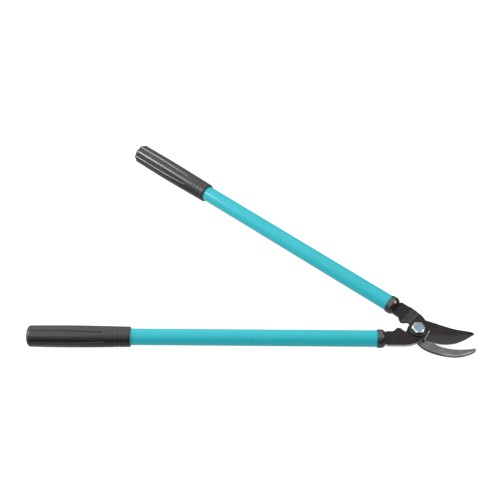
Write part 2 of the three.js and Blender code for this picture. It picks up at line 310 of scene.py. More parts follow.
TUBE_PAINT = tube_paint()
GRIP_PLASTIC = moulded_plastic("grip_plastic", (0.006, 0.006, 0.0075), (0.011, 0.011, 0.0135), 0.24)
FERRULE_PLASTIC = moulded_plastic(
    "ferrule_plastic", (0.008, 0.008, 0.0075), (0.013, 0.0135, 0.0125), 0.23, shine=1.0
)
PLUG_PLASTIC = moulded_plastic(
    "plug_plastic", (0.08, 0.085, 0.09), (0.11, 0.11, 0.12), 0.5, drawn=False
)
NYLON = moulded_plastic("nylon", (0.02, 0.08, 0.33), (0.04, 0.11, 0.38), 0.4, relief=0.01)
ARM_COAT = arm_coat()
ZINC_PLATE = zinc_plate("zinc_plate", (0.17, 0.24, 0.305), (0.22, 0.27, 0.31))
# The washers' zinc is dull, and darkened to paint the shade under the bolt's head and the nut.
SHADED_WASHER_ZINC = zinc_plate("washer_zinc_shaded", (0.043, 0.046, 0.041), (0.073, 0.073, 0.068))
PIN_STEEL = plain_steel()

# ------------------------------------------------------------------ building pieces


def add_piece(node, body, place, shape, material, sharp=32):
    """A smooth-shaded piece from corners in millimetres, which stands for a CAD node. Edges
    steeper than `sharp` degrees stay crisp."""
    vertices, faces = shape
    name = node + "_fine"
    mesh = bpy.data.meshes.new(name)
    mesh.from_pydata([Vector(v) * MM for v in vertices], [], faces)
    mesh.validate()
    work = bmesh.new()
    work.from_mesh(mesh)
    bmesh.ops.recalc_face_normals(work, faces=work.faces)
    work.to_mesh(mesh)
    work.free()
    local = mesh.attributes.new("local", "FLOAT_VECTOR", "POINT")
    local.data.foreach_set("vector", [number for v in mesh.vertices for number in v.co])
    mesh.transform(place)
    mesh.shade_smooth()
    mesh.set_sharp_from_angle(angle=math.radians(sharp))
    mesh.materials.append(material)
    piece = bpy.data.objects.new(name, mesh)
    bpy.context.scene.collection.objects.link(piece)
    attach(piece, body)
    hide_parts(node)
    return piece


def rounded_path(corners, steps=5):
    """A profile through corners (along, radius, rounding), with each corner rounded off."""
    path = []
    for i, (x, r, rounding) in enumerate(corners):
        here = Vector((x, r))
        if not rounding or i in (0, len(corners) - 1):
            path.append(here)
            continue
        back = (Vector(corners[i - 1][:2]) - here).normalized()
        ahead = (Vector(corners[i + 1][:2]) - here).normalized()
        half = back.angle(ahead) / 2
        reach = rounding / math.tan(half)
        centre = here + (back + ahead).normalized() * (rounding / math.sin(half))
        start = (here + back * reach - centre).normalized()
        end = (here + ahead * reach - centre).normalized()
        for step in range(steps + 1):
            path.append(centre + start.slerp(end, step / steps, start) * rounding)
    return [(point.x, point.y) for point in path]


def skin(rings, closed_ends=True):
    """Corners and faces of a surface over rings with the same number of corners. With
    closed_ends, the first and the last ring close to a point in their middle."""
    count = len(rings[0])
    vertices = [corner for ring in rings for corner in ring]
    faces = []
    for i in range(len(rings) - 1):
        for j in range(count):
            after = (j + 1) % count
            low, high = i * count, (i + 1) * count
            faces.append((low + j, low + after, high + after, high + j))
    if closed_ends:
        for base in (0, (len(rings) - 1) * count):
            middle = np.mean(vertices[base : base + count], axis=0)
            vertices.append(tuple(middle))
            hub = len(vertices) - 1
            faces += [(base + j, base + (j + 1) % count, hub) for j in range(count)]
    return vertices, faces


def ring_about_x(x, radius_at, segments):
    ring = []
    for j in range(segments):
        angle = 2 * math.pi * j / segments
        radius = radius_at(angle)
        ring.append((x, radius * math.sin(angle), radius * math.cos(angle)))
    return ring


def ring_about_z(z, radius_at, segments):
    return [(x, y, z) for (_, y, x) in ring_about_x(0, radius_at, segments)]


def turned_about(ring_at, profile, segments=96):
    """Rings for a round piece with the given profile of (along, radius)."""
    return [ring_at(x, lambda _, r=r: r, segments) for x, r in profile]


# ------------------------------------------------------------------ outlines


def spline(points, steps):
    """The uniform Catmull-Rom curve through the points, without its first point."""
    curve = []
    last = len(points) - 1
    for i in range(last):
        a = points[max(i - 1, 0)]
        b = points[i]
        c = points[i + 1]
        d = points[min(i + 2, last)]
        for k in range(1, steps + 1):
            t = k / steps
            place = []
            for pa, pb, pc, pd in zip(a, b, c, d):
                slope_b, slope_c = (pc - pa) / 2, (pd - pb) / 2
                cubic = (2 * pb - 2 * pc + slope_b + slope_c) * t**3
                square = (-3 * pb + 3 * pc - 2 * slope_b - slope_c) * t**2
                place.append(cubic + square + slope_b * t + pb)
            curve.append(tuple(place))
    return curve


class Outline:
    """Collects an outline from straight, curved and round stretches."""

    def __init__(self, start):
        self.points = [start]

    def line(self, *points):
        for point in points:
            start = np.array(self.points[-1])
            end = np.array(point)
            steps = max(1, round(np.linalg.norm(end - start) / 1.5))
            self.points += [tuple(start + (end - start) * k / steps) for k in range(1, steps + 1)]
        return self

    def curve(self, *points, steps=9):
        self.points += spline([self.points[-1], *points], steps)
        return self

    def arc(self, centre, radius, start, end, steps=12):
        for k in range(steps + 1):
            angle = math.radians(start + (end - start) * k / steps)
            point = (centre[0] + radius * math.cos(angle), centre[1] + radius * math.sin(angle))
            self.points.append(point)
        return self

    def done(self):
        """The closed outline, with points that all but coincide taken out."""
        kept = []
        for point in self.points:
            if not kept or math.dist(kept[-1], point) > 0.05:
                kept.append(point)
        if math.dist(kept[0], kept[-1]) < 0.05:
            kept.pop()
        return np.array(kept)


def distance_to(points, line, closed=False):
    """For each point, its distance to a line of points."""
    start = line if closed else line[:-1]
    end = np.roll(line, -1, axis=0) if closed else line[1:]
    run = end - start
    length = (run**2).sum(axis=1)
    best = np.full(len(points), 1e9)
    for a, r, square in zip(start, run, length):
        share = np.clip(((points - a) @ r) / square, 0, 1)
        away = points - a - share[:, None] * r
        best = np.minimum(best, (away**2).sum(axis=1))
    return np.sqrt(best)


def inside(points, outline):
    """Which points lie within a closed outline."""
    x, y = points[:, 0], points[:, 1]
    result = np.zeros(len(points), bool)
    for (ax, ay), (bx, by) in zip(outline, np.roll(outline, -1, axis=0)):
        crosses = (ay > y) != (by > y)
        if ay != by:
            result ^= crosses & (x < (bx - ax) * (y - ay) / (by - ay) + ax)
    return result


def smooth(value, low, high):
    share = np.clip((value - low) / (high - low), 0, 1)
    return share * share * (3 - 2 * share)


ROUNDING = 0.55  # of the arms' rims
RIM_RINGS = (0.08, 0.25, 0.55, 1.1)
GRAIN = 1.5  # between the points inside an arm's faces


def relief_plate(outline, hole, lines, faces_at):
    """A plate with a hole, whose upper and lower faces follow the heights that faces_at gives.
    lines are kept as edges in both faces. Gives the shape, and its corners' flat places."""
    ahead = np.roll(outline, -1, axis=0) - np.roll(outline, 1, axis=0)
    inward = np.stack([-ahead[:, 1], ahead[:, 0]], axis=1)
    inward /= np.linalg.norm(inward, axis=1)[:, None]
    low, high = outline.min(axis=0), outline.max(axis=0)
    loose = []
    for depth in RIM_RINGS:
        ring = outline + inward * depth
        loose.append(ring[distance_to(ring, outline, closed=True) > 0.97 * depth])
    columns = np.arange(low[0], high[0], GRAIN)
    rows = np.arange(low[1], high[1], GRAIN * 0.87)
    grid = np.array([(x + (i % 2) * GRAIN / 2, y) for i, y in enumerate(rows) for x in columns])
    grid = grid[inside(grid, outline)]
    loose.append(grid[distance_to(grid, outline, closed=True) > RIM_RINGS[-1] + 0.5])
    loose = np.vstack(loose)
    loose = loose[np.linalg.norm(loose, axis=1) > hole + 0.4]
    for line in lines:
        loose = loose[distance_to(loose, line) > 0.4]
    turns = np.linspace(0, 2 * math.pi, 64, endpoint=False)
    bore = hole * np.stack([np.cos(turns), np.sin(turns)], axis=1)
    points, edges = [], []
    for loop, closed in [(outline, True), (bore, True), *((line, False) for line in lines)]:
        base = len(points)
        count = len(loop)
        points += [Vector(p) for p in loop]
        edges += [(base + i, base + (i + 1) % count) for i in range(count if closed else count - 1)]
    points += [Vector(p) for p in loose]
    flat, _, triangles, _, _, _ = delaunay_2d_cdt(points, edges, [], 0, 1e-4)
    flat = np.array(flat)
    triangles = np.array(triangles)
    centres = flat[triangles].mean(axis=1)
    kept = inside(centres, outline) & (np.linalg.norm(centres, axis=1) > hole * 0.999)
    triangles = triangles[kept]
    used, numbered = np.unique(triangles, return_inverse=True)
    flat = flat[used]
    triangles = numbered.reshape(-1, 3)
    corners = flat[triangles]
    a = corners[:, 1] - corners[:, 0]
    b = corners[:, 2] - corners[:, 0]
    turned_over = a[:, 0] * b[:, 1] - a[:, 1] * b[:, 0] < 0
    triangles[turned_over] = triangles[turned_over][:, ::-1]
    top, bottom = faces_at(flat)
    count = len(flat)
    vertices = [(x, y, z) for (x, y), z in zip(flat, top)]
    vertices += [(x, y, z) for (x, y), z in zip(flat, bottom)]
    faces = [tuple(t) for t in triangles]
    faces += [(c + count, b + count, a + count) for a, b, c in triangles]
    sides = {(a, b) for t in triangles for a, b in zip(t, np.roll(t, -1))}
    faces += [(b, a, a + count, b + count) for a, b in sides if (b, a) not in sides]
    return (vertices, [tuple(int(i) for i in face) for face in faces]), flat


def rim_drop(flat, outline, radius):
    """How far a rounded rim falls below the face, at each flat place."""
    depth = np.clip(distance_to(flat, outline, closed=True), 0, radius)
    return radius - np.sqrt(np.maximum(radius**2 - (radius - depth) ** 2, 0))


def mark(piece, name, values):
    """Stores a value from 0 to 1 on each corner of a piece, for its material."""
    layer = piece.data.attributes.new(name, "FLOAT", "POINT")
    layer.data.foreach_set("value", np.clip(values, 0, 1).astype(np.float32))


def both_faces(values):
    return np.concatenate([values, values])


# ------------------------------------------------------------------ the arms

SHANK_WIDTH = 24.8
SHOULDER = -50.5  # where the shank begins, just in front of the ferrule
SHOULDER_RADIUS = 4.5
TANG_WIDTH = 16
TANG_END = -64  # the tang is drawn only as far as the ferrule hides it
PLATE = heights("blade_arm")[1] - heights("blade_arm")[0]
PIVOT_HOLE = 6.1


def tang_and_shoulder(axis):
    """The outline's start: the lower side of the tang, and the shank's rounded shoulder."""
    low = axis - SHANK_WIDTH / 2
    outline = Outline((TANG_END, axis - TANG_WIDTH / 2))
    outline.line((SHOULDER, axis - TANG_WIDTH / 2), (SHOULDER, low + SHOULDER_RADIUS))
    centre = (SHOULDER + SHOULDER_RADIUS, low + SHOULDER_RADIUS)
    return outline.arc(centre, SHOULDER_RADIUS, 180, 270)


def shoulder_and_tang(outline, axis):
    """The outline's end, on the upper side."""
    high = axis + SHANK_WIDTH / 2
    centre = (SHOULDER + SHOULDER_RADIUS, high - SHOULDER_RADIUS)
    outline.line((centre[0], high))
    outline.arc(centre, SHOULDER_RADIUS, 90, 180)
    outline.line((SHOULDER, axis + TANG_WIDTH / 2), (TANG_END, axis + TANG_WIDTH / 2))
    outline.line((TANG_END, axis - TANG_WIDTH / 2))
    return outline.done()


HEEL = (9.2, -16.6)
TIP = (84, -4.6)
CUTTING_EDGE = [HEEL, (20, -20.1), (32, -22.8), (44, -23), (56, -20.6), (68, -15), (77, -9.3), TIP]
BEVEL_LINE = np.array([(17.5, -1), (85, -2.6)])
EDGE_THICKNESS = 0.3
LEDGE = 0.65  # width of the rounded step at the plunge line
BRIGHT_STRIP = 0.3  # bare steel behind it, painted light as part of the plunge line's painted highlight
HUB_RADIUS = 15.9
HUB_START = 134  # degrees, in the notch between the hub and the blade's spine


def blade_outline():
    axis = BLADE_SIDE.offset
    outline = tang_and_shoulder(axis)
    outline.line((-21, axis - SHANK_WIDTH / 2))
    outline.curve((-12, -25.1), (-4, -21.9), (5, -16.6))
    outline.line((7.2, -15.4), (7.6, HEEL[1]), HEEL)
    outline.curve(*CUTTING_EDGE[1:])
    outline.curve((82.4, -3), (70, -0.4), (55, 2.8), (40, 8), (25, 14.2), (13, 18.8))
    notch = math.radians(HUB_START)
    on_hub = (HUB_RADIUS * math.cos(notch), HUB_RADIUS * math.sin(notch))
    outline.curve((5, 20.4), (-4, 17.6), on_hub)
    outline.arc((0, 0), HUB_RADIUS, HUB_START, 177, steps=16)
    outline.curve((-19.2, -1.9), (-22.4, 0.6), (-25.4, 3.4), (-28.7, 4.5), (-32.2, 3.4), (-36, -0.8))
    outline.line((-39, axis + SHANK_WIDTH / 2))
    return shoulder_and_tang(outline, axis)


def bevel_share(flat):
    """Where each place lies on the bevel: how far along it, and how far down from its line to
    the edge (0 to 1). Straight lines from the line to the edge span it."""
    edge = np.array([HEEL, *spline(CUTTING_EDGE, 24)])
    share = np.linspace(0, 1, len(edge))[:, None]
    line = BEVEL_LINE[0] * (1 - share) + BEVEL_LINE[1] * share
    run = edge - line
    best = np.full(len(flat), 1e9)
    along = np.zeros(len(flat))
    down = np.zeros(len(flat))
    for i, (start, r) in enumerate(zip(line, run)):
        t = ((flat - start) @ r) / (r @ r)
        away = ((flat - start - np.clip(t, 0, 1)[:, None] * r) ** 2).sum(axis=1)
        nearer = away < best
        best = np.where(nearer, away, best)
        along = np.where(nearer, i / (len(edge) - 1), along)
        down = np.where(nearer, t, down)
    return along, np.clip(down, 0, 1)


def behind_plunge(flat):
    """Distance of each place behind the plunge line, towards the pivot."""
    start = BEVEL_LINE[0]
    run = np.array(HEEL) - start
    run /= np.linalg.norm(run)
    return (flat - start) @ np.array([run[1], -run[0]])


def blade_arm():
    bottom, top = heights("blade_arm")
    outline = blade_outline()
    start, end = BEVEL_LINE[0], np.array(HEEL)
    across = (end - start) / np.linalg.norm(end - start)
    back = np.array([across[1], -across[0]])
    steps = np.linspace(0.03, 0.985, 16)[:, None]
    plunge = start + (end - start) * steps
    middle = np.linspace(0, 0.97, 60)[:, None]
    line = start + (BEVEL_LINE[1] - start) * middle + np.array([0.6, 0])

    def faces_at(flat):
        _, down = bevel_share(flat)
        eased = down - 0.08 * np.exp(-((down / 0.12) ** 2)) * np.minimum(down / 0.08, 1)
        hollow = eased + 0.07 * np.sin(math.pi * eased)
        ground = top - (PLATE - EDGE_THICKNESS) * np.clip(hollow, 0, 1)
        step = 1 - (1 - np.clip(behind_plunge(flat) / LEDGE, 0, 1)) ** 2
        on_blade = flat[:, 0] > HEEL[0] - 1
        ground = np.where(on_blade, ground, top)
        face = ground * (1 - step) + top * step
        thickness = face - bottom
        radius = np.minimum(ROUNDING, thickness * 0.3)
        drop = rim_drop(flat, outline, ROUNDING) * radius / ROUNDING
        lower = bottom + rim_drop(flat, outline, 0.2) * np.minimum(1, thickness / 2)
        return face - drop, lower

    bright_strip_end = LEDGE + BRIGHT_STRIP
    beside = (-0.12, 0, 0.2, 0.4, LEDGE, bright_strip_end, bright_strip_end + 0.12)
    lines = [*(plunge + back * shift for shift in beside), line]
    shape, flat = relief_plate(outline, PIVOT_HOLE, lines, faces_at)
    piece = add_piece("blade_arm", "blade_side", BLADE_SIDE.arm, shape, ARM_COAT)
    _, down = bevel_share(flat)
    behind = behind_plunge(flat)
    on_bevel = (flat[:, 0] > HEEL[0] - 1) & (behind < 0.02)
    ground = np.where(on_bevel, smooth(down, 0.0, 0.55), 0)
    ground = np.maximum(ground, 0.5 * smooth(flat[:, 0], 74, 81))
    # The plunge line's rounded step and the strip behind it: bare steel, painted light steel as a
    # painted highlight where the step catches the light.
    on_ledge = (behind > -0.05) & (behind < bright_strip_end + 0.01)
    plunge_highlight = on_ledge & (flat[:, 1] < -1.2) & (flat[:, 0] > 8)
    keen = np.where(on_bevel, smooth(down, 0.955, 0.985), 0) * 0.5
    to_rim = distance_to(flat, outline, closed=True)
    # The side walls behind the blade: bare steel, painted light as a painted reflection of the pale
    # floor.
    wall = (to_rim < 0.01) & (flat[:, 0] < 7)
    rim = 1 - smooth(to_rim, 0.1, 1.0)
    bare = np.maximum(plunge_highlight, keen)
    mark(piece, "ground", np.concatenate([np.where(wall | plunge_highlight, 1, ground), wall]))
    mark(piece, "bare", np.concatenate([np.where(wall, 0.8, bare), wall * 0.8]))
    mark(piece, "rim", both_faces(rim * 0.8))


BEND_FOOT = -18.2  # where the hook arm's slope meets its flat, low part
BEND_LENGTH = 11.8
BEND_SOFTNESS = 1.3
HOOK_HUB_RADIUS = 16.5
OUTER_EDGE = [(9, -16), (20, -17.9), (31, -17.3), (43, -14), (55, -8.6), (66, -2.1)]
OUTER_TIP = [(74, 5.7), (80.5, 15), (84.4, 23), (85.2, 27.2), (83.9, 29.2), (81.8, 28.6)]
CHAMFER_WIDTH = 2.8
CHAMFER_SLOPE = 0.5


def hook_outline():
    axis = HOOK_SIDE.offset
    outline = tang_and_shoulder(axis)
    outline.line((-38.5, axis - SHANK_WIDTH / 2))
    outline.curve((-34.4, 0.4), (-30.6, -1.8), (-27.3, -0.3), (-24.2, 3.9), (-22, 6.4), (-19, 7))
    outline.arc((0, 0), HOOK_HUB_RADIUS, 160, 268, steps=36)
    outline.curve(*OUTER_EDGE)
    outline.curve(*OUTER_TIP)
    outline.curve((75, 21), (66, 13.2), (56, 6.2), (46, 1.5), (36, -1.4), (28, -0.2))
    outline.curve((20, 4.6), (11, 13.4), (2, 23), (-6, 28.2), (-13, 30.7), (-20, 31.3))
    outline.curve((-28, 30), (-36, axis + SHANK_WIDTH / 2))
    return shoulder_and_tang(outline, axis)


def bend_height(x, foot):
    """The bent plate's rise at x: 0 on the flat part and 1 on the shank, with soft bends."""
    offsets = np.linspace(-BEND_SOFTNESS, BEND_SOFTNESS, 9)
    rises = [np.clip((foot - x - o) / BEND_LENGTH, 0, 1) for o in offsets]
    return np.mean(rises, axis=0)


def hook_arm():
    bottom, top = heights("hook_arm")
    rise = top - bottom - PLATE
    lag = PLATE * math.tan(math.atan2(rise, BEND_LENGTH) / 2)
    outline = hook_outline()
    outer = np.array(spline([*OUTER_EDGE, *OUTER_TIP[:4]], 12))

    def chamfer(flat):
        """How far the ground chamfer along the jaw's outer edge lowers the face."""
        width = CHAMFER_WIDTH * smooth(flat[:, 0], 42, 58) * smooth(27.5 - flat[:, 1], 0, 9)
        depth = np.maximum(width - distance_to(flat, outer), 0)
        return depth * CHAMFER_SLOPE

    def faces_at(flat):
        x = flat[:, 0]
        upper = top - rise + rise * bend_height(x, BEND_FOOT) - chamfer(flat)
        lower = bottom + rise * bend_height(x, BEND_FOOT - lag)
        drop = rim_drop(flat, outline, ROUNDING)
        return upper - drop, lower + drop

    bends = []
    for x in (BEND_FOOT, BEND_FOOT - BEND_LENGTH):
        for shift in (-BEND_SOFTNESS, 0, BEND_SOFTNESS):
            ys = np.linspace(9, 28, 14)
            bends.append(np.stack([np.full(14, x + shift), ys], axis=1))
    ahead = np.gradient(outer, axis=0)
    ahead /= np.linalg.norm(ahead, axis=1)[:, None]
    inner = outer + CHAMFER_WIDTH * np.stack([-ahead[:, 1], ahead[:, 0]], axis=1)
    inner = inner[(inner[:, 0] > 56) & (inner[:, 1] < 17)]
    shape, flat = relief_plate(outline, PIVOT_HOLE, [*bends, inner], faces_at)
    piece = add_piece("hook_arm", "hook_side", HOOK_SIDE.arm, shape, ARM_COAT)
    from_pivot = np.linalg.norm(flat, axis=1)
    jaw = smooth(from_pivot, 15.5, 17.5) * smooth(flat[:, 0] - 0.55 * flat[:, 1], -6, 2)
    to_rim = distance_to(flat, outline, closed=True)
    rim = 1 - smooth(to_rim, 0.1, 1.0)
    behind_foot = BEND_FOOT - flat[:, 0]
    # A painted highlight along the bend's foot: a thin line of bare steel, partly worn coat and partly
    # the light that the crease catches.
    crease_highlight = np.exp(-((behind_foot / 0.35) ** 2)) * 0.3
    # The bend's slope is painted lighter through `ground`: painted light on the face that turns towards
    # the light.
    slope = smooth(behind_foot, -0.5, 0.5) * (1 - smooth(behind_foot, BEND_LENGTH - 1, BEND_LENGTH + 1))
    # The jaw's chamfer band: freshly ground steel, painted lighter as a painted highlight on the
    # chamfer.
    chamfer_glint = jaw * smooth(chamfer(flat), 0.02, 0.3) * 0.36
    # The jaw's outer side wall keeps the dark coat: a coated side, and painted shade on that face.
    wall = jaw * (to_rim < 0.01)
    ground = np.maximum(slope * 0.7, chamfer_glint)
    mark(piece, "ground", np.concatenate([ground, np.zeros(len(flat))]))
    mark(piece, "bare", np.concatenate([np.maximum(jaw, crease_highlight) - wall * 0.7, jaw - wall * 0.7]))
    mark(piece, "rim", both_faces(rim * 0.75))


# ------------------------------------------------------------------ the handles


def tube(side):
    back, front = side.span("tube")
    radius = side.radius("tube")
    wall = 1.5
    corners = [
        (back, radius - wall, 0),
        (back, radius, 0.3),
        (front, radius, 0.3),
        (front, radius - wall, 0.3),
        (back, radius - wall, 0),
    ]
    rings = turned_about(ring_about_x, rounded_path(corners, 3), 128)
    shape = skin(rings, closed_ends=False)
    add_piece(side.body + "_tube", side.body, side.handle, shape, TUBE_PAINT)


def ferrule(side):
    """A collar with a rounded front, a raised bead behind it and a thin lip over the tube."""
    back, front = side.span("ferrule")
    radius = side.radius("ferrule")
    bore = side.radius("tube") + 0.12
    mouth = front - 3.2
    corners = [
        (mouth, 0, 0),
        (mouth, bore, 0.2),
        (back, bore, 0.15),
        (back, radius - 0.2, 0.3),
        (back + 1.5, radius - 0.1, 0.2),
        (back + 1.9, radius - 0.4, 0),
        (back + 2.3, radius - 0.05, 0.1),
        (back + 5, radius, 0),
        (front - 4.0, radius - 0.05, 2.0),
        (front - 0.1, radius - 2.5, 0.9),
        (front, radius - 3.5, 0),
        (front, 0, 0),
    ]
    rings = turned_about(ring_about_x, rounded_path(corners))
    node = side.body + "_ferrule"
    add_piece(node, side.body, side.handle, skin(rings), FERRULE_PLASTIC)


FLUTES = 8
FLUTE_DEPTH = 1.15
FLUTE_HALF_WIDTH = 17.0  # degrees round the grip
FLUTE_WALL = 2.1  # breadth of the rounded slope at a flute's edge, at full depth
FLUTE_START = 38.4  # from the grip's front edge to the tips of the flutes
FLUTE_RUN_OUT = 48
GRIP_RINGS = (9, 16.3, 23.4)  # fine grooves, from the front edge
RING_DEPTH = 0.4
RING_HALF_WIDTH = 0.75
RING_SLOPE = 0.62
GRIP_CORNER = 5
GRIP_BODY = [(0, 15.3), (38, 16), (88, 16.55), (149.6, 16.1)]


def grip_stations(length):
    """Places along the grip where rings are wanted: (distance from its front, radius)."""
    body = [GRIP_BODY[0], *spline(GRIP_BODY, 40)]
    reach = np.array([p[0] for p in body])
    radii = np.array([p[1] for p in body])
    places = set(np.round(np.arange(1.2, length - GRIP_CORNER, 1.5), 2))
    places |= {round(FLUTE_START + 0.2 * k * k, 2) for k in range(9)}
    for groove in GRIP_RINGS:
        places = {p for p in places if abs(p - groove) > 1.0}
        shifts = (-RING_HALF_WIDTH, -0.1, 0.1, RING_HALF_WIDTH)
        places |= {round(groove + shift, 2) for shift in shifts}
    stations = [(p, float(np.interp(p, reach, radii))) for p in sorted(places)]
    rounding = [(0.0, radii[0] - 0.7), (0.2, radii[0] - 0.25), (0.6, radii[0] - 0.02)]
    corner = []
    for k in range(13):
        turn = math.radians(90 * k / 12)
        place = length - GRIP_CORNER * (1 - math.sin(turn))
        corner.append((place, radii[-1] - GRIP_CORNER * (1 - math.cos(turn))))
    return rounding + stations + corner


def half_flute(distance, length):
    """From the middle of a land to the middle of the next flute, at a distance from the grip's
    front: the angles from the flute's middle, in degrees, and how deep the flute is there."""
    past = max(distance - FLUTE_START, 0)
    run = min(past / FLUTE_RUN_OUT, 1)
    tip = min(math.sqrt(past / 3.2), 1)
    width = max(FLUTE_HALF_WIDTH * (0.5 + 0.5 * run**0.8) * tip, 2)
    depth = FLUTE_DEPTH * min(1, 0.75 + 0.45 * run) * min(1, math.sqrt(past / 3.6))
    depth *= 1 - 0.15 * float(smooth(distance, length - 14, length - 3))
    full_wall = math.degrees(FLUTE_WALL / GRIP_BODY[-1][1])
    wall = min(full_wall * depth / FLUTE_DEPTH, 0.8 * width)
    places = [(180 / FLUTES + (width - 180 / FLUTES) * k / 4, 0) for k in range(4)]
    for k in range(11):
        share = k / 10
        places.append((width - wall * share, depth * share * share * (3 - 2 * share)))
    floor_start = width - wall
    for k in range(1, 5):
        places.append((floor_start * (1 - k / 4), depth * (1 + 0.1 * math.sin(math.pi * k / 8))))
    return places


def grip(side, flute_turn):
    """A closed sleeve with flutes that run out through its rounded back end. Its lines of
    corners follow the edges of the flutes."""
    back, front = side.span("grip")
    length = front - back
    bore = side.radius("tube") + 0.12
    rings = []

    def add_ring(distance, radius, cut_share=1.0, shown_at=None):
        ring = []
        places = half_flute(distance if shown_at is None else shown_at, length)
        mirrored = [(-angle, depth) for angle, depth in places[-2:0:-1]]
        for flute in range(FLUTES):
            for angle, depth in places + mirrored:
                turn = math.radians(360 / FLUTES * flute - angle + flute_turn)
                here = radius - depth * cut_share
                ring.append((front - distance, here * math.sin(turn), here * math.cos(turn)))
        rings.append(ring)

    add_ring(length - 3.5, bore, 0, shown_at=0)
    add_ring(1, bore, 0)
    add_ring(0, bore + 0.35, 0)
    for distance, radius in grip_stations(length):
        nearest = min(abs(distance - place) for place in GRIP_RINGS)
        groove = min(max(RING_SLOPE * (RING_HALF_WIDTH - nearest), 0), RING_DEPTH)
        fade = min(1, max(0, radius - (GRIP_BODY[-1][1] - GRIP_CORNER)) / 3)
        add_ring(distance, radius - groove, fade)
    node = side.body + "_grip"
    add_piece(node, side.body, side.handle, skin(rings), GRIP_PLASTIC)


# ------------------------------------------------------------------ the pivot

BOLT_RADIUS = 6
THREAD_PITCH = 1.75
THREAD_DEPTH = 0.75
HEX_FLATS = 18
CHAMFER_ANGLE = math.radians(30)
HEX_SEGMENTS = 240
PIVOT_PLACE = Matrix.Translation(PIVOT)


def hex_radius(angle, turn):
    """A hexagon's radius, with its six corners just broken."""
    sixth = math.pi / 3
    off = (angle - turn + sixth / 2) % sixth - sixth / 2
    return min(HEX_FLATS / 2 / math.cos(sixth / 2 - abs(off)), HEX_FLATS / math.sqrt(3) - 0.12)


def thread_cut(height, angle):
    """How far the thread's groove goes below the crest, at a height and an angle."""
    turn = (height / THREAD_PITCH - angle / (2 * math.pi)) % 1
    return THREAD_DEPTH * min(1, 2.6 * (0.5 - abs(turn - 0.5)))


def pivot_bolt(head_turn):
    """Bolt and hexagon head in one: threaded at its end, with the head's corners turned down."""
    end, top = heights("pivot_bolt")
    foot = heights("head_washer")[1] + 0.1
    crown = HEX_FLATS * 0.43
    threaded = heights("nut_washer")[0] + 1
    rings = []
    for z, radius in ((end, BOLT_RADIUS - 1.3), (end + 0.35, BOLT_RADIUS - 1.0)):
        rings.append(ring_about_z(z, lambda _, r=radius: r, HEX_SEGMENTS))
    steps = round((threaded - end - 0.5) / THREAD_PITCH * 10)
    for k in range(steps + 1):
        z = end + 0.6 + k * THREAD_PITCH / 10
        taper = min(1.0, (z - end) / 1.2)
        fade = min(1.0, (threaded + 0.5 - z) / 2)
        crest = BOLT_RADIUS - 0.02 - 0.9 * (1 - taper)

        def cut_at(angle, z=z, crest=crest, fade=fade):
            return max(crest - thread_cut(z, angle) * fade, 5.0)

        rings.append(ring_about_z(z, cut_at, HEX_SEGMENTS))
    for z in (threaded + 0.8, foot):
        rings.append(ring_about_z(z, lambda _: BOLT_RADIUS - 0.02, HEX_SEGMENTS))

    def side_radius(angle, inset=0.0):
        return hex_radius(angle, head_turn) - inset

    rings.append(ring_about_z(foot, lambda a: side_radius(a, 0.35), HEX_SEGMENTS))
    rings.append(ring_about_z(foot + 0.25, side_radius, HEX_SEGMENTS))
    for share in (0.0, 0.03, 0.5, 0.97, 1.0):
        ring = []
        for j in range(HEX_SEGMENTS):
            angle = 2 * math.pi * j / HEX_SEGMENTS
            radius = side_radius(angle)
            start = top - max(0, radius - crown) * math.tan(CHAMFER_ANGLE)
            radius += (crown - radius) * share
            z = start + (top - start) * share
            if share == 0.0:
                z -= 0.12
            ring.append((radius * math.cos(angle), radius * math.sin(angle), z))
        rings.append(ring)
    rings.append(ring_about_z(top, lambda _: crown - 0.3, HEX_SEGMENTS))
    rings.append(ring_about_z(top - 0.02, lambda _: crown * 0.6, HEX_SEGMENTS))
    shape = skin(rings)
    piece = add_piece(
        "pivot_bolt", "blade_side", PIVOT_PLACE, shape, ZINC_PLATE, sharp=28
    )
    corners = np.array(shape[0])
    from_axis = np.hypot(corners[:, 0], corners[:, 1])
    # A painted highlight: the upper part of the head's sides and the edge of its chamfer turn bright
    # zinc, standing for the side light's glint.
    wear_and_glint = smooth(corners[:, 2], foot + 3, foot + 5)
    wear_and_glint *= smooth(from_axis, crown + 0.4, crown + 1.0)
    mark(piece, "wear_and_glint", wear_and_glint)


def flat_ring(node, finish):
    """A washer, or the ring in the nut, with rounded edges."""
    low, high = heights(node)
    left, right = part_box(node)
    radius = (right.x - left.x) / MM / 2
    bore = BOLT_RADIUS + 0.2
    corners = [
        (low, bore, 0),
        (low, radius, 0.25),
        (high, radius, 0.45),
        (high, bore, 0.15),
        (low, bore, 0),
    ]
    rings = turned_about(ring_about_z, rounded_path(corners, 4), 128)
    add_piece(node, "blade_side", PIVOT_PLACE, skin(rings, closed_ends=False), finish)


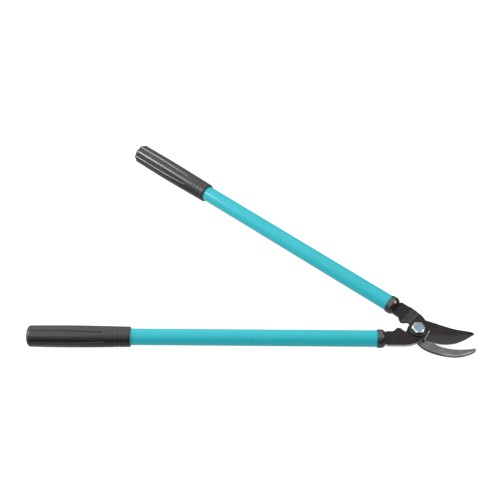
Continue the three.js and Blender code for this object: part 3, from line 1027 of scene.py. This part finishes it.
def pivot_nut():
    """A lock nut: six flats with turned corners, and a round crimped collar over its ring."""
    end, top = heights("pivot_nut")
    collar = HEX_FLATS * 0.475
    corner = HEX_FLATS / math.sqrt(3)
    bore = BOLT_RADIUS + 0.1
    seat = BOLT_RADIUS + 2.2
    outside = [
        (end + 3.4, bore, 0),
        (end + 3.4, seat, 0),
        (end + 0.35, seat, 0),
        (end, seat - 0.6, 0),
        (end, collar - 1.0, 0.3),
        (end + 0.9, collar, 0.8),
        (end + 3.2, collar, 0.5),
        (end + 4.4, corner, 0),
        (top - 0.9, corner, 0),
        (top, collar, 0),
        (top, bore, 0),
        (end + 3.4, bore, 0),
    ]
    profile = rounded_path(outside)
    fine = []
    for (z, r), (next_z, next_r) in zip(profile, profile[1:]):
        steps = 8 if corner - 1.6 < (r + next_r) / 2 < corner - 0.05 and z != next_z else 1
        fine += [(z + (next_z - z) * k / steps, r + (next_r - r) * k / steps) for k in range(steps)]
    fine.append(profile[-1])
    rings = []
    for z, r in fine:
        rings.append(ring_about_z(z, lambda a, r=r: min(r, hex_radius(a, 0.0)), HEX_SEGMENTS))
    shape = skin(rings, closed_ends=False)
    add_piece("pivot_nut", "blade_side", PIVOT_PLACE, shape, ZINC_PLATE)


# ------------------------------------------------------------------ the object

blade_arm()
hook_arm()

GRIP_TURNS = {"blade_side": 17.0, "hook_side": 10.5}
for one_side in (BLADE_SIDE, HOOK_SIDE):
    tube(one_side)
    ferrule(one_side)
    grip(one_side, -GRIP_TURNS[one_side.body])

HEAD_TURN = math.radians(20)
pivot_bolt(HEAD_TURN)
flat_ring("head_washer", SHADED_WASHER_ZINC)
flat_ring("nut_washer", SHADED_WASHER_ZINC)
pivot_nut()
flat_ring("nut_insert", NYLON)

HIDDEN_FINISHES = {"tang_plug": PLUG_PLASTIC, "tang_pin": PIN_STEEL}
for node_name, node_object in frame["nodes"].items():
    for ending, finish in HIDDEN_FINISHES.items():
        if node_name.endswith(ending):
            node_object.data.materials.clear()
            node_object.data.materials.append(finish)

# ------------------------------------------------------------------ floor, light and camera


FLOOR_GLOW = 0.9
FLOOR_WIDTH = 300
FLOOR_DROP = 0.0005  # below the object's lowest point, so that the two don't coincide


def floor():
    """A pale light table, large enough to fill every view: it softens the shadows."""
    half = FLOOR_WIDTH / 2
    mesh = bpy.data.meshes.new("floor")
    corners = [(-half, -half, 0), (half, -half, 0), (half, half, 0), (-half, half, 0)]
    mesh.from_pydata(corners, [], [(0, 1, 2, 3)])
    material, shader = new_material("floor", (0.25, 0.25, 0.25), 0.9)
    shader.inputs["Specular IOR Level"].default_value = 0.1
    shader.inputs["Emission Color"].default_value = (1, 1, 1, 1)
    shader.inputs["Emission Strength"].default_value = FLOOR_GLOW
    mesh.materials.append(material)
    piece = bpy.data.objects.new("floor", mesh)
    piece.location.z = -FLOOR_DROP
    piece.visible_glossy = False
    bpy.context.scene.collection.objects.link(piece)


def softbox(name, place, aim, size, power):
    light = bpy.data.lights.new(name, "AREA")
    light.shape = "RECTANGLE"
    light.size = light.size_y = size
    light.energy = power
    lamp = bpy.data.objects.new(name, light)
    lamp.location = place
    lamp.rotation_euler = (Vector(aim) - Vector(place)).to_track_quat("-Z", "Y").to_euler()
    bpy.context.scene.collection.objects.link(lamp)


KEY_DIRECTION = (-0.79, -0.12, 0.6)  # from the object to the middle of the key light, on its left
KEY_AIM = (-0.25, 0, 0)  # about the middle of the object
KEY_SIZE = 0.55
KEY_POWER = 14
SIDE_DIRECTION = (0.71, 0.26, 0.65)  # a weaker light on its right, aimed at the pivot
SIDE_SIZE = 0.7
SIDE_POWER = 12
LIGHT_DISTANCE = 1.9
# Where the world's light changes, and its brightness there: (from, to, first, last).
SKY_DIRECTION = (-0.6, 0.12, 0.78)
SKY_GLOW = (-0.13, 1.0, 0.12, 1.7)  # along SKY_DIRECTION: dim low on the right, bright on the left
LOWER_GLOW = (0.0, 0.3, 0.0, 0.5)  # by depth below the horizon: the table, as the pieces mirror it


def studio():
    world = bpy.data.worlds.new("studio")
    world.use_nodes = True
    nodes = Tree(world)
    direction = nodes.node("ShaderNodeTexCoord").outputs["Generated"]
    facing = nodes.node("ShaderNodeVectorMath", operation="DOT_PRODUCT")
    facing.inputs[1].default_value = Vector(SKY_DIRECTION).normalized()
    nodes.link(direction, facing.inputs[0])
    above = nodes.spread(facing.outputs["Value"], *SKY_GLOW)
    split = nodes.node("ShaderNodeSeparateXYZ")
    nodes.link(direction, split.inputs["Vector"])
    depth = nodes.math("MULTIPLY", split.outputs["Z"], -1)
    below = nodes.spread(depth, *LOWER_GLOW, kind="LINEAR")
    background = world.node_tree.nodes["Background"]
    nodes.link(nodes.math("MAXIMUM", above, below), background.inputs["Color"])
    bpy.context.scene.world = world
    key = Vector(KEY_AIM) + Vector(KEY_DIRECTION).normalized() * LIGHT_DISTANCE
    softbox("key", key, KEY_AIM, KEY_SIZE, KEY_POWER)
    side = Vector(SIDE_DIRECTION).normalized() * LIGHT_DISTANCE
    softbox("side", side, (0, 0, 0), SIDE_SIZE, SIDE_POWER)


CAMERA_AZIMUTH = 20.0  # degrees from +Y to the direction of view
CAMERA_ELEVATION = 50.14
CAMERA_ROLL = -0.22
CAMERA_PLACE = (0.0608, -0.9044, 1.2602)
CAMERA_LENS = 72.03


def camera():
    data = bpy.data.cameras.new("camera")
    data.lens = CAMERA_LENS
    data.sensor_width = 36
    data.clip_start = 0.05
    data.clip_end = 400
    piece = bpy.data.objects.new("camera", data)
    turn = Matrix.Rotation(math.radians(CAMERA_AZIMUTH), 4, "Z")
    tilt = Matrix.Rotation(math.radians(90 - CAMERA_ELEVATION), 4, "X")
    roll = Matrix.Rotation(math.radians(CAMERA_ROLL), 4, "Z")
    piece.matrix_world = Matrix.Translation(CAMERA_PLACE) @ turn @ tilt @ roll
    bpy.context.scene.collection.objects.link(piece)
    bpy.context.scene.camera = piece


floor()
studio()
camera()
bpy.context.scene.view_settings.view_transform = "Standard"
